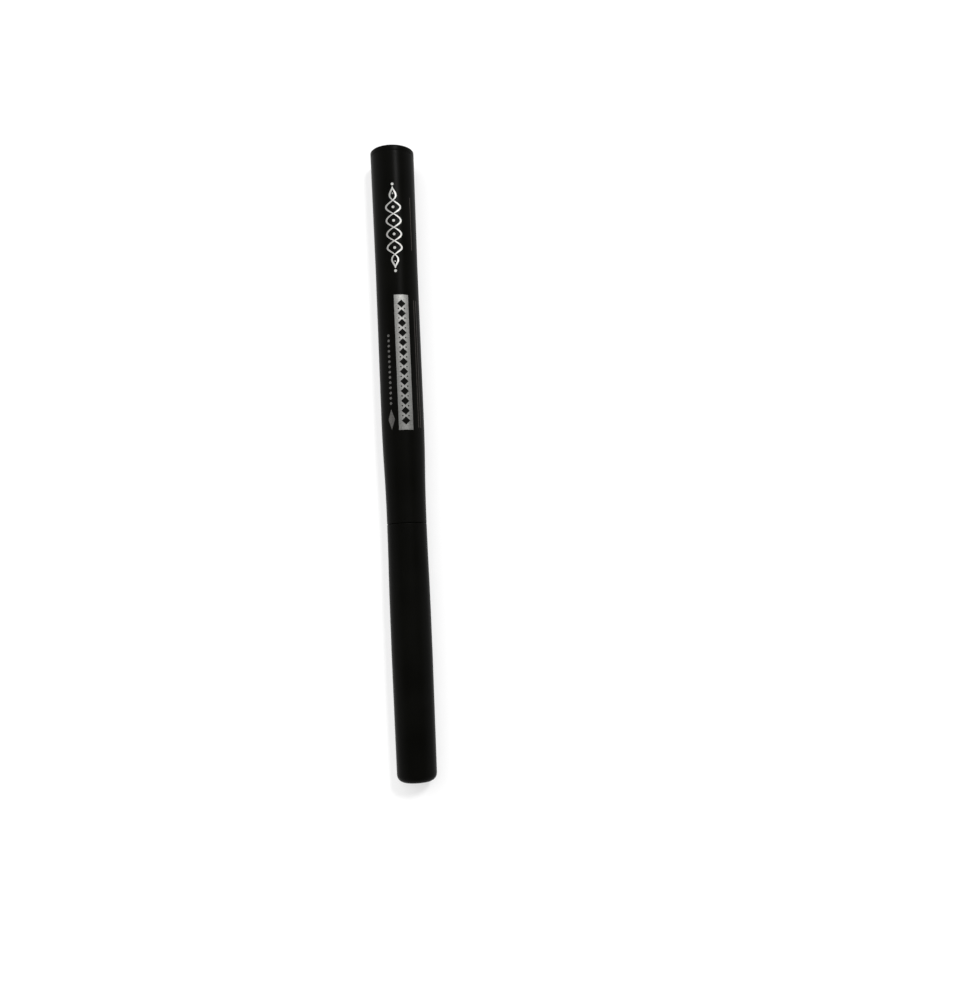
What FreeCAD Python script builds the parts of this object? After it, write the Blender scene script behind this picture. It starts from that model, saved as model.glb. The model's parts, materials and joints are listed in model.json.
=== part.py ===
import FreeCAD, Part
import os
import re
import Sketcher

# Liquid eyeliner pen, lying along Y: tail at +Y, capped brush at -Y, all sizes in millimetres.
# Every piece is drawn round the pen's axis, with station 0 at the seam between barrel and cap.
# Stations run up towards the tail and down towards the closed end of the cap.

# Driving dimensions: name, value, meaning
SIZES = [
    # outside of the barrel
    ("barrel_length", "83.6", "seam to tail end, with the plug's flange"),
    ("seam_radius", "4.31", "barrel and cap where they meet"),
    ("barrel_waist", "24", "length over which the barrel narrows to the seam"),
    ("barrel_rise", "0.36", "straight stretch of the barrel over the seam"),
    ("tail_taper", "25", "length of the cone that widens to the tail"),
    ("tail_rise", "0.18", "tail over the straight stretch"),
    ("seam_gap", "0.1", "open line between barrel and cap"),
    ("edge_break", "0.1", "small chamfer on visible rims"),
    # fits shared by several pieces
    ("press_gap", "0.01", "radial gap of pieces that are pressed together"),
    ("ring_gap", "0.02", "radial gap of a sealing ring to its bore and groove"),
    ("ring_play", "0.05", "gap on each side of a sealing ring in its groove"),
    # inside of the barrel
    ("rim_wall", "0.55", "barrel wall at its front rim"),
    ("socket_depth", "9", "depth of the front socket"),
    ("socket_step", "0.25", "ledge that stops the front section"),
    # tail plug
    ("plug_flange", "1.2", "thickness of the flange that shows"),
    ("plug_rounding", "0.25", "rounded edge of the flange"),
    ("plug_spigot", "6", "length inside the barrel"),
    ("plug_relief", "0.12", "radial gap between ribs"),
    ("plug_wall", "0.8", "wall of the hollow spigot"),
    ("rib_width", "0.6", "sealing rib along the pen"),
    ("rib_pitch", "2", "rib to rib"),
    ("rib_count", "2", "sealing ribs"),
    # ink tank and mixing ball
    ("tank_gap", "0.05", "radial gap of the tank in the barrel"),
    ("tank_wall", "0.45", "side wall"),
    ("tank_end", "0.8", "closed end wall"),
    ("ball_radius", "2", "steel mixing ball"),
    ("ball_gap", "0.04", "gap under the ball"),
    # collector
    ("collector_gap", "0.03", "radial gap of the collar in the tank"),
    ("collector_wall", "0.6", "wall of the core tube"),
    ("stub_seat", "6", "length of core tube held by the front section"),
    ("fin_lead", "1", "tank mouth to the first fin"),
    ("fin_count", "20", "fins"),
    ("fin_pitch", "1", "fin to fin"),
    ("fin_thickness", "0.45", "one fin"),
    ("fin_gap", "0.15", "radial gap of the fins in the tank"),
    ("fin_root", "0.1", "depth of a fin's foot in the core tube"),
    ("ink_slit", "0.35", "width of the slit that feeds the fins"),
    ("air_slot", "0.9", "width of the notch that vents the fins"),
    ("collar_length", "3.2", "collar that closes the tank"),
    ("tank_ring_section", "0.4", "section radius of the collar's ring"),
    # relay core
    ("relay_radius", "0.9", "fibre rod"),
    ("relay_gap", "0.05", "radial gap round the rod"),
    ("relay_reach", "5", "length that dips into the ink"),
    # front section
    ("front_wall", "0.9", "wall of the hollow spigot"),
    ("neck_gap", "0.08", "radial gap of the neck in the cap's liner"),
    ("neck_length", "12", "straight neck that the cap covers"),
    ("neck_ring_place", "5.5", "seam to the middle of the friction ring"),
    ("neck_ring_section", "0.4", "section radius of the friction ring"),
    ("nose_gap", "0.12", "radial gap of the nose in the gasket"),
    ("nose_length", "17", "neck to the end of the nose"),
    ("nose_tip_wall", "0.27", "wall of the nose at its end"),
    ("vent_radius", "0.3", "air hole in the nose"),
    ("vent_place", "2.5", "neck to the middle of the air hole"),
    # brush and its collar
    ("brush_radius", "0.76", "bundle of filaments"),
    ("brush_length", "7", "filaments outside the collar"),
    ("brush_point", "0.05", "radius left at the very tip"),
    ("ferrule_wall", "0.28", "brush collar"),
    ("ferrule_depth", "10.5", "brush collar inside the nose"),
    ("ferrule_lip", "0.4", "lip of the brush collar"),
    # cap
    ("cap_wall", "0.6", "wall at the mouth"),
    ("cap_waist", "20", "length over which the cap narrows to the seam"),
    ("cap_rise", "0.12", "widest stretch of the cap over the seam"),
    ("cap_straight", "8.5", "length of the widest stretch"),
    ("cap_fall", "0.16", "closed end under the widest stretch"),
    ("cap_rounding", "1.6", "rounded closed end"),
    ("cap_end_wall", "1.4", "closed end wall"),
    ("cap_ledge", "0.3", "ledge that stops the liner"),
    # liner
    ("liner_wall", "0.4", "wall round the neck"),
    ("liner_inset", "0.6", "mouth of the cap to the liner"),
    ("guide_step", "0.28", "step of the bore that guides the inner cap"),
    ("guide_relief", "0.5", "end of the neck to the guide"),
    # inner cap, gasket and spring
    ("inner_cap_gap", "0.05", "sliding gap of the inner cap"),
    ("inner_cap_wall", "0.6", "side wall"),
    ("inner_cap_end", "0.8", "closed end wall"),
    ("inner_cap_flange", "1.2", "flange that stops on the guide"),
    ("inner_cap_travel", "2", "how far it can be pushed back"),
    ("tip_room", "4", "free length past the brush"),
    ("seal_gap", "0.05", "gap between gasket and neck at rest"),
    ("gasket_width", "0.42", "gasket across its ring"),
    ("gasket_thickness", "1", "gasket along the pen"),
    ("gasket_proud", "0.15", "gasket past the inner cap's rim"),
    ("gasket_ledge", "0.2", "ledge behind the gasket"),
    ("spring_length", "12.4", "spring as fitted"),
    ("spring_radius", "2", "spring at the middle of its wire"),
    ("spring_wire", "0.22", "radius of the wire"),
    ("spring_turns", "6", "turns"),
    ("spring_gap", "0.03", "gap at each end of the spring"),
    ("boss_gap", "0.28", "radial gap between spring and bosses"),
    ("boss_height", "1.2", "bosses that centre the spring"),
]

# Fits: radii and stations that follow from the driving dimensions
FITS = {
    # barrel and tail plug
    "body_radius": "seam_radius + barrel_rise",
    "tail_radius": "body_radius + tail_rise",
    "barrel_rear": "barrel_length - plug_flange",
    "straight_rear": "barrel_rear - tail_taper",
    "barrel_swell": "(seam_radius + body_radius) / 2",
    "barrel_swell_station": "(edge_break + barrel_waist) / 2",
    "socket_radius": "seam_radius - rim_wall",
    "chamber_radius": "socket_radius - socket_step",
    "plug_radius": "chamber_radius - plug_relief",
    "plug_bore": "plug_radius - plug_wall",
    "plug_tip": "barrel_rear - plug_spigot",
    "rib_start": "plug_tip + rib_pitch / 2",
    "rib_radius": "chamber_radius - press_gap",
    # ink tank and mixing ball
    "tank_radius": "chamber_radius - tank_gap",
    "tank_bore": "tank_radius - tank_wall",
    "tank_floor": "plug_tip - tank_end",
    "ball_station": "(relay_back + tank_floor) / 2",
    "ball_drop": "tank_bore - ball_radius - ball_gap",
    # collector and relay core
    "relay_bore": "relay_radius + relay_gap",
    "core_radius": "relay_bore + collector_wall",
    "fin_radius": "tank_bore - fin_gap",
    "fin_start": "socket_depth + fin_lead",
    "collar_front": "fin_start + fin_count * fin_pitch",
    "collar_back": "collar_front + collar_length",
    "collar_radius": "tank_bore - collector_gap",
    "tank_ring_radius": "tank_bore - ring_gap - tank_ring_section",
    "tank_ring_station": "(collar_front + collar_back) / 2",
    "tank_groove_floor": "tank_ring_radius - tank_ring_section - ring_gap",
    "tank_groove_half": "tank_ring_section + ring_play",
    "relay_back": "collar_back + relay_reach",
    "relay_front": "ferrule_depth - neck_length - nose_length",
    # front section
    "spigot_radius": "socket_radius - press_gap",
    "spigot_bore": "spigot_radius - front_wall",
    "stub_tip": "front_wall - stub_seat",
    "stub_bore": "core_radius + press_gap",
    "neck_radius": "liner_bore - neck_gap",
    "neck_ring_radius": "liner_bore - ring_gap - neck_ring_section",
    "neck_groove_floor": "neck_ring_radius - neck_ring_section - ring_gap",
    "neck_groove_half": "neck_ring_section + ring_play",
    "neck_end": "-neck_length",
    "nose_end": "-neck_length - nose_length",
    "nose_root": "gasket_bore - nose_gap",
    "nose_tip_radius": "ferrule_socket + nose_tip_wall",
    # brush and its collar
    "ferrule_bore": "brush_radius + press_gap",
    "ferrule_radius": "ferrule_bore + ferrule_wall",
    "ferrule_socket": "ferrule_radius + press_gap",
    "ferrule_front": "nose_end - ferrule_lip",
    "brush_tip_station": "ferrule_front - brush_length",
    # cap and liner
    "cap_mouth": "-seam_gap",
    "cap_radius": "seam_radius + cap_rise",
    "cap_end_radius": "cap_radius - cap_fall",
    "cap_bore": "seam_radius - cap_wall",
    "cap_hollow": "cap_bore - cap_ledge",
    "cap_swell": "(seam_radius + cap_radius) / 2",
    "cap_swell_station": "-(seam_gap + edge_break + cap_waist) / 2",
    "cap_floor": "inner_cap_back - spring_length",
    "cap_back": "cap_floor - cap_end_wall",
    "liner_radius": "cap_bore - press_gap",
    "liner_bore": "liner_radius - liner_wall",
    "liner_mouth": "cap_mouth - liner_inset",
    "liner_back": "inner_cap_back - inner_cap_travel - inner_cap_flange",
    "guide_bore": "liner_bore - guide_step",
    "guide_front": "neck_end - guide_relief",
    "guide_back": "flange_front + inner_cap_gap",
    # inner cap and gasket
    "gasket_front": "neck_end - seal_gap",
    "gasket_back": "gasket_front - gasket_thickness",
    "gasket_seat": "inner_cap_bore + gasket_ledge",
    "gasket_radius": "gasket_seat - press_gap",
    "gasket_bore": "gasket_seat - gasket_width",
    "inner_cap_radius": "guide_bore - inner_cap_gap",
    "inner_cap_bore": "inner_cap_radius - inner_cap_wall",
    "inner_cap_mouth": "gasket_front - gasket_proud",
    "inner_cap_floor": "brush_tip_station - tip_room",
    "inner_cap_back": "inner_cap_floor - inner_cap_end",
    "flange_front": "inner_cap_back + inner_cap_flange",
    "flange_radius": "liner_bore - inner_cap_gap",
    "boss_radius": "spring_radius - spring_wire - boss_gap",
    # the whole pen, lying on its widest rim with the middle of its length at the origin
    "seam_place": "-(barrel_length + cap_back) / 2",
    "axis_height": "tail_radius",
}


doc = FreeCAD.newDocument("EyelinerPen")
sheet = doc.addObject("Spreadsheet::Sheet", "Sizes")
pieces = []


def fill_sheet():
    """Writes the driving dimensions into the sheet, one row each, with the name as the cell's alias."""
    for row, (name, value, meaning) in enumerate(SIZES, start=1):
        sheet.set(f"A{row}", name)
        sheet.set(f"B{row}", value)
        sheet.set(f"C{row}", meaning)
        sheet.setAlias(f"B{row}", name)
    doc.recompute()


def formula(text):
    """The text as a sheet expression: each fit opened up, each size named by its cell."""
    def cell(match):
        name = match.group(0)
        if name in FITS:
            return f"({formula(FITS[name])})"
        return f"Sizes.{name}"
    return re.sub(r"[a-z][a-z_]*", cell, text)


def size(text):
    """The value of a formula, in millimetres."""
    return float(sheet.evalExpression(formula(text)))


def lay_down(piece):
    """Carries a piece from the pen's axis to where the lying pen has it."""
    piece.setExpression("Placement.Base.y", formula("seam_place"))
    piece.setExpression("Placement.Base.z", formula("axis_height"))


def new_body(label):
    """An empty body of the pen."""
    body = doc.addObject("PartDesign::Body", label)
    body.Label = label
    lay_down(body)
    pieces.append(body)
    return body


def new_sketch(body, name):
    """A sketch on the body's XY plane: x is the radius, y the station."""
    sketch = body.newObject("Sketcher::SketchObject", name)
    plane = next(f for f in body.Origin.OriginFeatures if f.Role == "XY_Plane")
    sketch.AttachmentSupport = [(plane, "")]
    sketch.MapMode = "FlatFace"
    return sketch


def hold(sketch, element, vertex, radius, station, name):
    """Ties one vertex of a sketch to a radius and a station, where they are given."""
    holds = (("DistanceX", radius, -2, "radius"), ("DistanceY", station, -1, "station"))
    for kind, text, axis, word in holds:
        if text is None:
            continue
        if text == "0":
            sketch.addConstraint(Sketcher.Constraint("PointOnObject", element, vertex, axis))
            continue
        index = sketch.addConstraint(Sketcher.Constraint(kind, -1, 1, element, vertex, size(text)))
        sketch.renameConstraint(index, f"{name}_{word}")
        sketch.setExpression(f"Constraints.{name}_{word}", formula(text))


def arc_between(start, end, level):
    """The shorter arc from start to end whose centre lies at the station level."""
    rise = (end.y - level) ** 2 - (start.y - level) ** 2
    centre_x = (end.x ** 2 - start.x ** 2 + rise) / (2 * (end.x - start.x))
    centre = FreeCAD.Vector(centre_x, level, 0)
    towards = (start + end) / 2 - centre
    middle = centre + towards.normalize() * (start - centre).Length
    return Part.Arc(start, middle, end)


def draw_outline(sketch, points):
    """Draws a closed outline. A point is (radius, station), or (radius, station, level) where an arc
    with its centre at that level leads to it."""
    places = [FreeCAD.Vector(size(point[0]), size(point[1]), 0) for point in points]
    elements = []
    for index, point in enumerate(points):
        start, end = places[index - 1], places[index]
        curve = arc_between(start, end, size(point[2])) if len(point) == 3 else Part.LineSegment(start, end)
        elements.append(sketch.addGeometry(curve, False))
    arrivals = []
    departures = []
    for element, place in zip(elements, places):
        arrival = 2 if sketch.getPoint(element, 2).isEqual(place, 1e-6) else 1
        arrivals.append(arrival)
        departures.append(3 - arrival)
    for index, point in enumerate(points):
        after = (index + 1) % len(points)
        ends = (elements[index], arrivals[index], elements[after], departures[after])
        sketch.addConstraint(Sketcher.Constraint("Coincident", *ends))
        hold(sketch, elements[index], arrivals[index], point[0], point[1], f"point_{index}")
        if len(point) == 3:
            hold(sketch, elements[index], 3, None, point[2], f"centre_{index}")


def draw_circle(sketch, radius, station, section):
    """Draws a circle of the given section about a point at a radius and a station."""
    centre = FreeCAD.Vector(size(radius), size(station), 0)
    circle = sketch.addGeometry(Part.Circle(centre, FreeCAD.Vector(0, 0, 1), size(section)), False)
    hold(sketch, circle, 3, radius, station, "centre")
    index = sketch.addConstraint(Sketcher.Constraint("Radius", circle, size(section)))
    sketch.renameConstraint(index, "section")
    sketch.setExpression("Constraints.section", formula(section))


def revolve(body, sketch, name):
    """Turns a sketch round the pen's axis and adds it to the body."""
    turned = body.newObject("PartDesign::Revolution", name)
    turned.Profile = sketch
    turned.ReferenceAxis = (sketch, ["V_Axis"])
    turned.Angle = 360
    doc.recompute()
    return turned


def turned_piece(label, points):
    """A piece that is one outline turned round the pen's axis."""
    body = new_body(label)
    sketch = new_sketch(body, f"{label}_outline")
    draw_outline(sketch, points)
    revolve(body, sketch, f"{label}_turned")
    return body


def repeat(body, feature, sketch, count, pitch):
    """Repeats a feature along the pen, at an even pitch."""
    pattern = body.newObject("PartDesign::LinearPattern", f"{feature.Name}_row")
    pattern.Originals = [feature]
    pattern.Direction = (sketch, ["V_Axis"])
    pattern.setExpression("Occurrences", formula(count))
    pattern.setExpression("Length", formula(f"({count} - 1) * {pitch}"))
    body.Tip = pattern
    doc.recompute()


def cut_away(body, sketch, name, depth, upwards):
    """Cuts a sketch into the body, up or down, and makes sure that it took something away."""
    before = body.Shape.Volume
    pocket = body.newObject("PartDesign::Pocket", name)
    pocket.Profile = sketch
    pocket.Reversed = upwards
    pocket.setExpression("Length", formula(depth))
    body.Tip = pocket
    doc.recompute()
    if not body.Shape.Volume < before:
        raise RuntimeError(f"{name} cuts nothing from {body.Label}")


def ring(label, radius, section, station):
    """A round ring about the pen's axis."""
    torus = doc.addObject("Part::Torus", label)
    torus.Label = label
    torus.setExpression("Radius1", formula(radius))
    torus.setExpression("Radius2", formula(section))
    torus.Placement = FreeCAD.Placement(FreeCAD.Vector(), FreeCAD.Rotation(FreeCAD.Vector(1, 0, 0), 90))
    torus.setExpression("Placement.Base.y", formula(f"seam_place + {station}"))
    torus.setExpression("Placement.Base.z", formula("axis_height"))
    pieces.append(torus)


def make_barrel():
    """Outer tube: waisted towards the seam, straight in the middle, widening to the tail."""
    turned_piece("barrel", [
        ("socket_radius", "0"),
        ("seam_radius - edge_break", "0"),
        ("seam_radius", "edge_break"),
        ("barrel_swell", "barrel_swell_station", "edge_break"),
        ("body_radius", "barrel_waist", "barrel_waist"),
        ("body_radius", "straight_rear"),
        ("tail_radius", "barrel_rear - edge_break"),
        ("tail_radius - edge_break", "barrel_rear"),
        ("chamber_radius", "barrel_rear"),
        ("chamber_radius", "socket_depth"),
        ("socket_radius", "socket_depth"),
    ])


def make_tail_plug():
    """Hollow plug with sealing ribs and the flange that forms the pen's tail."""
    body = turned_piece("tail_plug", [
        ("0", "barrel_length"),
        ("tail_radius - plug_rounding", "barrel_length"),
        ("tail_radius", "barrel_length - plug_rounding", "barrel_length - plug_rounding"),
        ("tail_radius", "barrel_rear + edge_break"),
        ("tail_radius - edge_break", "barrel_rear"),
        ("plug_radius", "barrel_rear"),
        ("plug_radius", "plug_tip"),
        ("plug_bore", "plug_tip"),
        ("plug_bore", "barrel_rear"),
        ("0", "barrel_rear"),
    ])
    sketch = new_sketch(body, "rib_outline")
    draw_outline(sketch, [
        ("plug_radius - plug_relief", "rib_start"),
        ("plug_radius", "rib_start"),
        ("rib_radius", "rib_start + rib_width / 4"),
        ("rib_radius", "rib_start + rib_width * 3 / 4"),
        ("plug_radius", "rib_start + rib_width"),
        ("plug_radius - plug_relief", "rib_start + rib_width"),
    ])
    rib = revolve(body, sketch, "rib")
    repeat(body, rib, sketch, "rib_count", "rib_pitch")


def make_ink_tank():
    """Inner tube that holds the free ink, closed at the tail."""
    turned_piece("ink_tank", [
        ("tank_bore + edge_break", "socket_depth"),
        ("tank_radius", "socket_depth"),
        ("tank_radius", "plug_tip"),
        ("0", "plug_tip"),
        ("0", "tank_floor"),
        ("tank_bore", "tank_floor"),
        ("tank_bore", "socket_depth + edge_break"),
    ])


def make_mixing_ball():
    """Steel ball that stirs the ink, lying on the lower wall of the tank."""
    ball = doc.addObject("Part::Sphere", "mixing_ball")
    ball.Label = "mixing_ball"
    ball.setExpression("Radius", formula("ball_radius"))
    ball.setExpression("Placement.Base.y", formula("seam_place + ball_station"))
    ball.setExpression("Placement.Base.z", formula("axis_height - ball_drop"))
    pieces.append(ball)


def make_collector():
    """Finned regulator: core tube, fins that hold surplus ink, and the collar that closes the tank."""
    body = turned_piece("collector", [
        ("relay_bore", "stub_tip"),
        ("core_radius - edge_break", "stub_tip"),
        ("core_radius", "stub_tip + edge_break"),
        ("core_radius", "collar_front"),
        ("collar_radius", "collar_front"),
        ("collar_radius", "tank_ring_station - tank_groove_half"),
        ("tank_groove_floor", "tank_ring_station - tank_groove_half"),
        ("tank_groove_floor", "tank_ring_station + tank_groove_half"),
        ("collar_radius", "tank_ring_station + tank_groove_half"),
        ("collar_radius", "collar_back"),
        ("relay_bore", "collar_back"),
    ])
    fin_sketch = new_sketch(body, "fin_outline")
    draw_outline(fin_sketch, [
        ("core_radius - fin_root", "fin_start"),
        ("fin_radius", "fin_start"),
        ("fin_radius", "fin_start + fin_thickness"),
        ("core_radius - fin_root", "fin_start + fin_thickness"),
    ])
    fin = revolve(body, fin_sketch, "fin")
    repeat(body, fin, fin_sketch, "fin_count", "fin_pitch")
    slit_sketch = new_sketch(body, "ink_slit_outline")
    draw_outline(slit_sketch, [
        ("-ink_slit / 2", "fin_start - fin_lead / 2"),
        ("ink_slit / 2", "fin_start - fin_lead / 2"),
        ("ink_slit / 2", "collar_front"),
        ("-ink_slit / 2", "collar_front"),
    ])
    cut_away(body, slit_sketch, "ink_slit_cut", "tank_bore", True)
    slot_sketch = new_sketch(body, "air_slot_outline")
    slot_sketch.setExpression("AttachmentOffset.Base.z", formula("-core_radius"))
    draw_outline(slot_sketch, [
        ("-air_slot / 2", "fin_start - fin_lead / 2"),
        ("air_slot / 2", "fin_start - fin_lead / 2"),
        ("air_slot / 2", "collar_front"),
        ("-air_slot / 2", "collar_front"),
    ])
    cut_away(body, slot_sketch, "air_slot_cut", "tank_bore", False)


def make_relay_core():
    """Fibre rod that draws the ink from the tank to the brush."""
    turned_piece("relay_core", [
        ("0", "relay_front"),
        ("relay_radius", "relay_front"),
        ("relay_radius", "relay_back - relay_radius"),
        ("0", "relay_back", "relay_back - relay_radius"),
    ])


def make_front_section():
    """Spigot in the barrel, neck under the cap with the groove of its ring, and the nose of the brush."""
    body = turned_piece("front_section", [
        ("spigot_bore", "socket_depth"),
        ("spigot_radius", "socket_depth"),
        ("spigot_radius", "0"),
        ("neck_radius", "0"),
        ("neck_radius", "neck_groove_half - neck_ring_place"),
        ("neck_groove_floor", "neck_groove_half - neck_ring_place"),
        ("neck_groove_floor", "-neck_groove_half - neck_ring_place"),
        ("neck_radius", "-neck_groove_half - neck_ring_place"),
        ("neck_radius", "neck_end + edge_break"),
        ("neck_radius - edge_break", "neck_end"),
        ("nose_root", "neck_end"),
        ("nose_tip_radius", "nose_end", "neck_end"),
        ("ferrule_socket", "nose_end"),
        ("ferrule_socket", "relay_front"),
        ("relay_bore", "relay_front"),
        ("relay_bore", "stub_tip"),
        ("stub_bore", "stub_tip"),
        ("stub_bore", "front_wall"),
        ("spigot_bore", "front_wall"),
    ])
    vent_sketch = new_sketch(body, "vent_outline")
    draw_circle(vent_sketch, "0", "neck_end - vent_place", "vent_radius")
    cut_away(body, vent_sketch, "vent_cut", "nose_root", False)


def make_brush():
    """Filament brush with a fine point, and the lipped collar that holds it in the nose."""
    turned_piece("brush_collar", [
        ("ferrule_bore", "relay_front"),
        ("ferrule_radius", "relay_front"),
        ("ferrule_radius", "nose_end"),
        ("nose_tip_radius - edge_break", "nose_end"),
        ("nose_tip_radius - edge_break", "ferrule_front + edge_break"),
        ("nose_tip_radius - edge_break * 2", "ferrule_front"),
        ("ferrule_bore", "ferrule_front"),
    ])
    turned_piece("brush_tip", [
        ("0", "relay_front"),
        ("brush_radius", "relay_front"),
        ("brush_radius", "ferrule_front"),
        ("brush_point", "brush_tip_station", "ferrule_front"),
        ("0", "brush_tip_station"),
    ])


def make_cap_shell():
    """Outer cap: waisted to the seam, closed and rounded at its end, with a boss for the spring."""
    turned_piece("cap_shell", [
        ("cap_bore", "cap_mouth"),
        ("seam_radius - edge_break", "cap_mouth"),
        ("seam_radius", "cap_mouth - edge_break"),
        ("cap_swell", "cap_swell_station", "cap_mouth - edge_break"),
        ("cap_radius", "-cap_waist", "-cap_waist"),
        ("cap_radius", "-cap_waist - cap_straight"),
        ("cap_end_radius", "cap_back + cap_rounding"),
        ("cap_end_radius - cap_rounding", "cap_back", "cap_back + cap_rounding"),
        ("0", "cap_back"),
        ("0", "cap_floor + boss_height"),
        ("boss_radius", "cap_floor + boss_height"),
        ("boss_radius", "cap_floor"),
        ("cap_hollow", "cap_floor"),
        ("cap_hollow", "liner_back"),
        ("cap_bore", "liner_back"),
    ])


def make_cap_liner():
    """Sleeve pressed into the cap: it grips the neck and guides the inner cap."""
    turned_piece("cap_liner", [
        ("liner_bore + edge_break", "liner_mouth"),
        ("liner_radius", "liner_mouth"),
        ("liner_radius", "liner_back"),
        ("liner_bore", "liner_back"),
        ("liner_bore", "guide_back"),
        ("guide_bore", "guide_back"),
        ("guide_bore", "guide_front"),
        ("liner_bore", "guide_front"),
        ("liner_bore", "liner_mouth - edge_break"),
    ])


def make_inner_cap():
    """Sprung cup that closes over the brush, and the soft gasket in its mouth."""
    turned_piece("inner_cap", [
        ("gasket_seat", "inner_cap_mouth"),
        ("inner_cap_radius - edge_break", "inner_cap_mouth"),
        ("inner_cap_radius", "inner_cap_mouth - edge_break"),
        ("inner_cap_radius", "flange_front"),
        ("flange_radius", "flange_front"),
        ("flange_radius", "inner_cap_back"),
        ("boss_radius", "inner_cap_back"),
        ("boss_radius", "inner_cap_back - boss_height"),
        ("0", "inner_cap_back - boss_height"),
        ("0", "inner_cap_floor"),
        ("inner_cap_bore", "inner_cap_floor"),
        ("inner_cap_bore", "gasket_back"),
        ("gasket_seat", "gasket_back"),
    ])
    turned_piece("inner_cap_gasket", [
        ("gasket_bore", "gasket_front - edge_break"),
        ("gasket_bore + edge_break", "gasket_front"),
        ("gasket_radius - edge_break", "gasket_front"),
        ("gasket_radius", "gasket_front - edge_break"),
        ("gasket_radius", "gasket_back"),
        ("gasket_bore", "gasket_back"),
    ])


def make_cap_spring():
    """Coil spring that presses the inner cap towards the neck."""
    body = new_body("cap_spring")
    sketch = new_sketch(body, "wire_outline")
    draw_circle(sketch, "spring_radius", "cap_floor + spring_gap + spring_wire", "spring_wire")
    doc.recompute()
    coil = body.newObject("PartDesign::AdditiveHelix", "coil")
    coil.Profile = sketch
    coil.ReferenceAxis = (sketch, ["V_Axis"])
    coil.Mode = "height-turns-angle"
    coil.setExpression("Height", formula("spring_length - (spring_gap + spring_wire) * 2"))
    coil.setExpression("Turns", formula("spring_turns"))
    doc.recompute()


def check_and_write():
    """Stops if anything failed to build, then writes one file for each piece."""
    for item in doc.Objects:
        if "Invalid" in item.State or "Error" in item.State:
            raise RuntimeError(f"{item.Label} failed to build: {item.State}")
    os.makedirs("parts", exist_ok=True)
    for piece in pieces:
        if piece.Shape.isNull() or not piece.Shape.isValid():
            raise RuntimeError(f"{piece.Label} has no valid shape")
        piece.Shape.exportStep(os.path.join("parts", f"{piece.Label}.step"))
        print(f"{piece.Label}: {len(piece.Shape.Solids)} solid, {piece.Shape.Volume:.2f} mm3")


def build():
    fill_sheet()
    make_barrel()
    make_tail_plug()
    make_ink_tank()
    make_mixing_ball()
    make_collector()
    ring("collector_ring", "tank_ring_radius", "tank_ring_section", "tank_ring_station")
    make_relay_core()
    make_front_section()
    ring("neck_ring", "neck_ring_radius", "neck_ring_section", "-neck_ring_place")
    make_brush()
    make_cap_shell()
    make_cap_liner()
    make_inner_cap()
    make_cap_spring()
    doc.recompute()
    check_and_write()


build()
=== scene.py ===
import json
import math
import random

import bmesh
import bpy
from mathutils import Matrix, Vector


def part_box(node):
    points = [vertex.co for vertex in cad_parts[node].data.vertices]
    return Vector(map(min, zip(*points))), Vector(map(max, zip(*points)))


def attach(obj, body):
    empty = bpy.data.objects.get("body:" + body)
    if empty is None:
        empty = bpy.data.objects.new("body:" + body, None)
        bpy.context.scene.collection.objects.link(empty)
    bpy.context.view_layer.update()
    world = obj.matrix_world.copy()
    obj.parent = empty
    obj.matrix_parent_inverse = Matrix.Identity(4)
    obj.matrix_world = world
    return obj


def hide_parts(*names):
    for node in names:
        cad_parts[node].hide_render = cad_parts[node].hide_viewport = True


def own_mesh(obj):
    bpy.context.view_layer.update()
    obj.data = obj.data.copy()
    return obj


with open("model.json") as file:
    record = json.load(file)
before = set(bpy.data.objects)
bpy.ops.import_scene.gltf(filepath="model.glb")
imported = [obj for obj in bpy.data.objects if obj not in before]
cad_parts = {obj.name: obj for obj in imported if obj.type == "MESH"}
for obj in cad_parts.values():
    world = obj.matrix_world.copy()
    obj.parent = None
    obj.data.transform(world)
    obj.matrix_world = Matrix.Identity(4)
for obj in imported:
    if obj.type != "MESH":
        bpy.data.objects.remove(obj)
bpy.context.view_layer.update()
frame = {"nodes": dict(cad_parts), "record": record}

MM = 0.001
NODES = frame["nodes"]


def station_of(node, end):
    """Station of a node's low (0) or high (1) end along the pen, in millimetres from the seam."""
    return (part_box(node)[end].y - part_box("barrel")[0].y) / MM


def radius_of(node):
    """Largest radius of a turned node, in millimetres."""
    low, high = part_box(node)
    return (high.x - low.x) / 2 / MM


# Places, in millimetres: the pen's axis, and stations counted from the seam up to the tail
SEAM_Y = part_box("barrel")[0].y / MM
AXIS_HEIGHT = (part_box("barrel")[0].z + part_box("barrel")[1].z) / 2 / MM
BARREL_REAR = station_of("barrel", 1)
TAIL_END = station_of("tail_plug", 1)
PLUG_TIP = station_of("tail_plug", 0)
CAP_MOUTH = station_of("cap_shell", 1)
CAP_END = station_of("cap_shell", 0)
LINER_BACK = station_of("cap_liner", 0)
NOSE_END = station_of("front_section", 0)
SOCKET_DEPTH = station_of("front_section", 1)
FERRULE_FRONT = station_of("brush_collar", 0)
FERRULE_BACK = station_of("brush_collar", 1)
BRUSH_TIP = station_of("brush_tip", 0)
STUB_TIP = station_of("collector", 0)
SPRING_LOW = station_of("cap_spring", 0)
SPRING_HIGH = station_of("cap_spring", 1)

# Outside of the pen, in millimetres
TAIL_RADIUS = radius_of("tail_plug")
BODY_RADIUS = 4.67
SEAM_RADIUS = 4.31
CAP_RADIUS = radius_of("cap_shell")
CAP_END_RADIUS = 4.27
BARREL_WAIST = 24.0
TAIL_TAPER = 25.0
CAP_WAIST = 20.0
CAP_STRAIGHT = 8.5
CAP_ROUNDING = 1.6
TAIL_ROUNDING = 0.15
RIM_FILLET = 0.11
MOUTH_FILLET = 0.05
JOINT_FILLET = 0.04
DIMPLE_FLOOR_SHARE = 0.6
DIMPLE_RIM_FILLET = 0.1

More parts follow.
